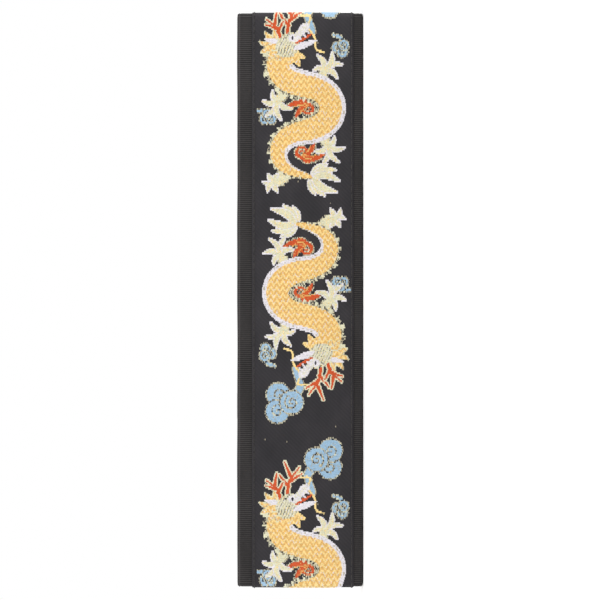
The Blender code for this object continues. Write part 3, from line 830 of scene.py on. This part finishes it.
def stitches(name, put, lines, height, pitch=3.0, thick=0.5):
    """Separate stitches along (s, w) lines: each one sinks into the cloth at both ends."""
    verts, faces, coords = [], [], []
    sides, rows = 6, 5
    around = np.arange(sides) * 2 * np.pi / sides
    spare = 0.04        # share of a stitch's length that is left free at each end
    u = np.linspace(spare, 1 - spare, rows)
    arch = np.sin(np.pi * np.clip((u - spare) / (1 - 2 * spare), 0.05, 0.95)) ** 0.5
    radius = thick / 2 * (0.45 + 0.55 * arch)
    out, up = radius[:, None] * np.cos(around), radius[:, None] * 0.8 * np.sin(around)
    for line in lines:
        line = np.array(line, float)
        steps = np.hypot(*np.diff(line, axis=0).T)
        at = np.concatenate([[0], np.cumsum(steps)])
        count = max(1, round(at[-1] / pitch))
        for n in range(count):
            run = (n + u) * (at[-1] / count)
            s, w = np.interp(run, at, line[:, 0]), np.interp(run, at, line[:, 1])
            ahead = np.stack([np.gradient(s), np.gradient(w)], 1)
            ahead /= np.linalg.norm(ahead, axis=1)[:, None]
            ring_s = s[:, None] - ahead[:, 1:] * out
            ring_w = w[:, None] + ahead[:, :1] * out
            ring_t = height + (arch * thick * 0.35)[:, None] + up
            base = len(verts) * rows * sides
            verts.append(put(ring_s, ring_w, ring_t).reshape(-1, 3))
            coords.append(np.stack([ring_s, ring_w, ring_t], -1).reshape(-1, 3))
            for r in range(rows - 1):
                for k in range(sides):
                    a, b = base + r * sides + k, base + r * sides + (k + 1) % sides
                    faces.append((a, a + sides, b + sides, b))
            for r, turned in ((0, False), (rows - 1, True)):
                e = [base + r * sides + k for k in range(sides)]
                caps = [(e[0], e[1], e[2], e[3]), (e[0], e[3], e[4], e[5])]
                faces += [c[::-1] if turned else c for c in caps]
    obj = make(name, np.vstack(verts), np.array(faces), THREAD, np.vstack(coords))
    return obj


def ribbon(name, start, end, ride, columns, inks):
    """Ground weave, woven figure and the two rows of edge stitching."""
    ground = tube(f"{name}_ribbon_ground", stations(start, end, 0.5), ground_section, GROUND_WEAVE)
    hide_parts(f"{name}_ribbon")
    sewn_from = max(start, FRONT_TAB_END - WEB_START + 1.0)
    for label, w in (("upper", RIBBON_HIGH - THREAD_INSET), ("lower", RIBBON_LOW + THREAD_INSET)):
        at = stations(sewn_from, end, 1.0)
        line = np.stack([at, np.full(len(at), w)], 1)
        row = stitches(f"{name}_edge_stitches_{label}", place, [line], BASE + STITCH_LIFT, thick=0.42)
        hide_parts(f"{name}_edge_thread_{label}")
        settle(row, ride)
    figure = floats(name, start, end, columns, inks, ride)
    settle(ground, ride)


def strap():
    """Every length of webbing and ribbon, from the front tab to the sewn end."""
    columns, inks = draft()
    for name, start, end, ride in SECTIONS:
        start, end = start + SEAM_GAP * (start > 0), end - SEAM_GAP
        webbing(name, start, end, ride)
        ribbon(name, start, end, ride, columns, inks)
    webbing("sewn_end", SEWN + SEAM_GAP, LENGTH - SEAM_GAP, "slider", swell=0)


# ---------------------------------------------------------------- stitching of the tabs and the slider
STITCH_INSET = 2.9      # from a tab's edge to its stitching
BOX_LINE, EDGE_LINE = 0.45, 0.4     # half the width of the lines of stitching in CAD


def flat_plane(node, out):
    """Mapping onto a flat upright face: s is X, w is Z, t stands out along Y (out is +1 or -1)."""
    low, high = (np.array(v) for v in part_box(node))
    face = (low[1] if out > 0 else high[1]) / MM

    def put(s, w, t):
        return np.stack([s, np.full_like(s, face) + out * t, w], -1) * MM
    return put, low / MM, high / MM


def box_stitches(node, out, ride):
    """A sewn box with a cross in it, stitch by stitch."""
    put, low, high = flat_plane(node, out)
    a, b, c, d = low[0] + BOX_LINE, high[0] - BOX_LINE, low[2] + BOX_LINE, high[2] - BOX_LINE
    lines = [[(a, c), (b, c)], [(b, c), (b, d)], [(b, d), (a, d)], [(a, d), (a, c)],
             [(a, c), (b, d)], [(a, d), (b, c)]]
    obj = stitches(node.replace("stitch", "stitches"), put, lines, STITCH_LIFT, pitch=2.6, thick=0.6)
    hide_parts(node)
    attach(obj, ride)


def edge_stitches(node, out, ride):
    """A line of stitching that follows a tab's edge round its tip."""
    put, low, high = flat_plane(node, out)
    mid, half = (low[2] + high[2]) / 2, (high[2] - low[2]) / 2 - EDGE_LINE
    nose, shoulder = TAB_TIP - 0.6 * STITCH_INSET, high[0] - TAB_STRAIGHT
    tip = low[0] + EDGE_LINE
    u = np.linspace(0, 1, 9)[1:]
    ease = u * u * (3 - 2 * u)
    upper = [(high[0], half), (shoulder, half)]
    upper += [(shoulder - TAB_SHOULDER * k, half + (nose - half) * e) for k, e in zip(u, ease)]
    flat = shoulder - TAB_SHOULDER
    a = np.linspace(0, np.pi, 25)[1:-1]
    arc = list(zip(flat + (tip - flat) * np.sin(a) ** 0.75, nose * np.cos(a)))
    line = upper + arc + [(x, -w) for x, w in upper[::-1]]
    obj = stitches(node.replace("stitch", "stitches"), put, [[(x, mid + w) for x, w in line]],
                   STITCH_LIFT, pitch=3.2, thick=0.6)
    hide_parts(node)
    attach(obj, ride)


def sewing():
    """All the stitching of the two tabs and the sewn end."""
    box_stitches("front_tab_box_stitch", -1, "strap")
    box_stitches("front_tab_box_stitch_back", 1, "strap")
    box_stitches("rear_tab_box_stitch", 1, "rear_tab")
    box_stitches("rear_tab_box_stitch_back", -1, "rear_tab")
    box_stitches("slider_box_stitch", -1, "slider")
    edge_stitches("front_tab_edge_stitch", -1, "strap")
    edge_stitches("rear_tab_edge_stitch", 1, "rear_tab")


# ---------------------------------------------------------------- leather and steel
def finish_node(node, material, edge):
    """A CAD node keeps its shape, and gets its real material and edges softened by `edge` millimetres."""
    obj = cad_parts[node]
    obj.data.materials.clear()
    obj.data.materials.append(material)
    weld = obj.modifiers.new("weld", "WELD")
    weld.merge_threshold = 1e-6
    bevel = obj.modifiers.new("edge", "BEVEL")
    bevel.width = edge * MM
    bevel.segments = 3
    bevel.limit_method = "ANGLE"
    bevel.angle_limit = math.radians(40)
    bevel.use_clamp_overlap = True


def wire_loop():
    """Rectangular loop bent from round wire."""
    low, high = (np.array(v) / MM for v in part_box("rear_loop_wire"))
    centre = (low + high) / 2
    half_x, half_z = (high[0] - low[0] - WIRE) / 2, (high[2] - low[2] - WIRE) / 2
    radius, sides, corner_steps = 2.5, 24, 8
    middle, facing = [], []
    for quarter, (sx, sz) in enumerate(((1, 1), (-1, 1), (-1, -1), (1, -1))):
        for k in range(corner_steps + 1):
            a = math.pi / 2 * (quarter + k / corner_steps)
            middle.append((sx * (half_x - radius) + radius * math.cos(a),
                           sz * (half_z - radius) + radius * math.sin(a)))
            facing.append((math.cos(a), math.sin(a)))
    around = np.arange(sides) * 2 * np.pi / sides
    middle, facing = np.array(middle), np.array(facing)
    across = WIRE / 2 * np.cos(around)
    x = centre[0] + middle[:, :1] + facing[:, :1] * across
    z = centre[2] + middle[:, 1:] + facing[:, 1:] * across
    y = np.tile(centre[1] + WIRE / 2 * np.sin(around), (len(middle), 1))
    i, j = np.meshgrid(np.arange(len(middle)), np.arange(sides), indexing="ij")
    a, b = i * sides + j, i * sides + (j + 1) % sides
    c, d = ((i + 1) % len(middle)) * sides + j, ((i + 1) % len(middle)) * sides + (j + 1) % sides
    obj = make("bent_wire_loop", np.stack([x, y, z], -1).reshape(-1, 3) * MM,
               np.stack([a, b, d, c], -1).reshape(-1, 4), STEEL)
    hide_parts("rear_loop_wire")
    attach(obj, "loop")


# ---------------------------------------------------------------- floor, light and camera
VIEW_SPAN = 236.3       # width of the picture at the strap's front face
DISTANCE = 250.0        # camera to the front face
EYE_HEIGHT = 17.5       # low enough to keep the slider hidden behind the front run
FLOOR_SIZE = 3.6        # metres
FLOOR_WHITE = (0.96, 0.96, 0.96, 1)
AIM = (0, 0, 0.025)     # metres; the middle of the folded strap, at which the lamps point
LAMPS = (("key", (0.75, -0.45, 0.25), 0.4, 2.6),    # name, place and size in metres, and watts
         ("top", (0, -0.2, 1.3), 1.2, 9.0))


def stage():
    """White floor, white world and two soft lamps."""
    bpy.ops.mesh.primitive_plane_add(size=FLOOR_SIZE)
    floor = bpy.context.object
    floor.name = "floor"
    paint = Look("floor_white", 0.9)
    paint.shader.inputs["Base Color"].default_value = FLOOR_WHITE
    floor.data.materials.append(paint.material)
    world = bpy.data.worlds.new("studio")
    world.use_nodes = True
    world.node_tree.nodes["Background"].inputs["Color"].default_value = (1, 1, 1, 1)
    world.node_tree.nodes["Background"].inputs["Strength"].default_value = 1.0
    bpy.context.scene.world = world
    bpy.context.scene.view_settings.view_transform = "Standard"
    for name, place_at, size, power in LAMPS:
        lamp = bpy.data.lights.new(name, "AREA")
        lamp.energy, lamp.size = power, size
        obj = bpy.data.objects.new(name, lamp)
        obj.location = place_at
        obj.rotation_euler = (Vector(AIM) - obj.location).to_track_quat("-Z", "Y").to_euler()
        bpy.context.scene.collection.objects.link(obj)


def camera():
    """Square on to the front run, rolled so that the strap stands upright in the picture."""
    cam = bpy.data.cameras.new("camera")
    cam.clip_start = 0.005
    cam.lens = cam.sensor_width * DISTANCE / VIEW_SPAN
    cam.shift_x = -(WIDTH / 2 - EYE_HEIGHT) / VIEW_SPAN
    obj = bpy.data.objects.new("camera", cam)
    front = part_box("main_ribbon")[0].y / MM
    obj.location = Vector((OFFSET[0], front - DISTANCE, EYE_HEIGHT)) * MM
    obj.rotation_euler = (math.radians(90), math.radians(90), 0)
    bpy.context.scene.collection.objects.link(obj)
    bpy.context.scene.camera = obj


camera()
stage()
strap()
sewing()
wire_loop()
for leather in ("front_tab_leather", "rear_tab_leather"):
    finish_node(leather, LEATHER_SKIN, 0.45)
finish_node("tri_glide_slider", STEEL, 0.3)
